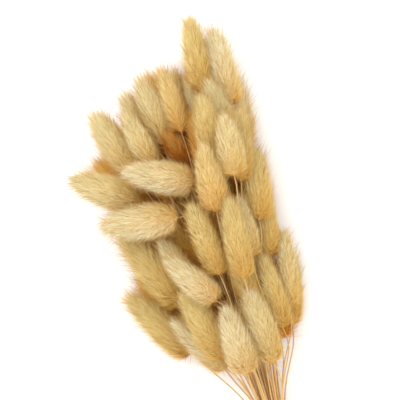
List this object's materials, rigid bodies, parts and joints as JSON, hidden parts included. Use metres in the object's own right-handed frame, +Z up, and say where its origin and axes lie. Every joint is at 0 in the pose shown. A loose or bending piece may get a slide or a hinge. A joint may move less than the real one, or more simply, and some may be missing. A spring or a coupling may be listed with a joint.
{
  "type": "bunch of dried bunny tail grass",
  "caption": "Bunch of dried bunny tail grass with soft egg-shaped heads on thin straw stems, tied with twine, lying on a table.",
  "frame": {"origin": "on the table, under the middle of the bunch's bounding box", "axes": "+Y along the bunch from the cut ends of the stems to the tips of the heads, +X across it, +Z up from the table it lies on"},
  "size_m": [0.1356, 0.4102, 0.0866],
  "materials": {
    "seed_fluff": "soft dried seed hair, matte, golden cream, browner at the roots",
    "straw_stem": "dry straw, faintly glossy",
    "twine": "twisted jute, matte"
  },
  "bodies": {
    "root": {"stalk_01": "seed_fluff", "stalk_02": "seed_fluff", "stalk_03": "seed_fluff", "stalk_04": "seed_fluff", "stalk_05": "seed_fluff", "stalk_06": "seed_fluff", "stalk_07": "seed_fluff", "stalk_08": "seed_fluff", "stalk_09": "seed_fluff", "stalk_10": "seed_fluff", "stalk_11": "seed_fluff", "stalk_12": "seed_fluff", "stalk_13": "seed_fluff", "stalk_14": "seed_fluff", "stalk_15": "seed_fluff", "stalk_16": "seed_fluff", "stalk_17": "seed_fluff", "stalk_18": "seed_fluff", "stalk_19": "seed_fluff", "stalk_20": "seed_fluff", "stalk_21": "seed_fluff", "stalk_22": "seed_fluff", "stalk_23": "seed_fluff", "stalk_24": "seed_fluff", "stalk_25": "seed_fluff", "stalk_26": "seed_fluff", "stalk_27": "seed_fluff", "stalk_28": "seed_fluff", "stalk_29": "seed_fluff", "stalk_30": "seed_fluff", "stalk_31": "seed_fluff", "stalk_32": "seed_fluff", "stalk_33": "seed_fluff", "stalk_34": "seed_fluff", "stalk_35": "seed_fluff", "stalk_36": "seed_fluff", "stalk_37": "seed_fluff", "stalk_38": "seed_fluff", "stalk_39": "seed_fluff", "stalk_40": "seed_fluff", "stalk_41": "seed_fluff", "stalk_42": "seed_fluff", "stalk_43": "seed_fluff", "stalk_44": "seed_fluff", "stalk_45": "seed_fluff", "stalk_46": "seed_fluff", "stalk_47": "seed_fluff", "stalk_48": "seed_fluff", "stalk_49": "seed_fluff", "stalk_50": "seed_fluff", "stalk_51": "seed_fluff", "stalk_52": "seed_fluff", "stalk_53": "seed_fluff", "stalk_54": "seed_fluff", "stalk_55": "seed_fluff", "stalk_56": "seed_fluff", "stalk_57": "seed_fluff", "stalk_58": "seed_fluff", "stalk_59": "seed_fluff", "tie": "twine"}
  },
  "joints": []
}
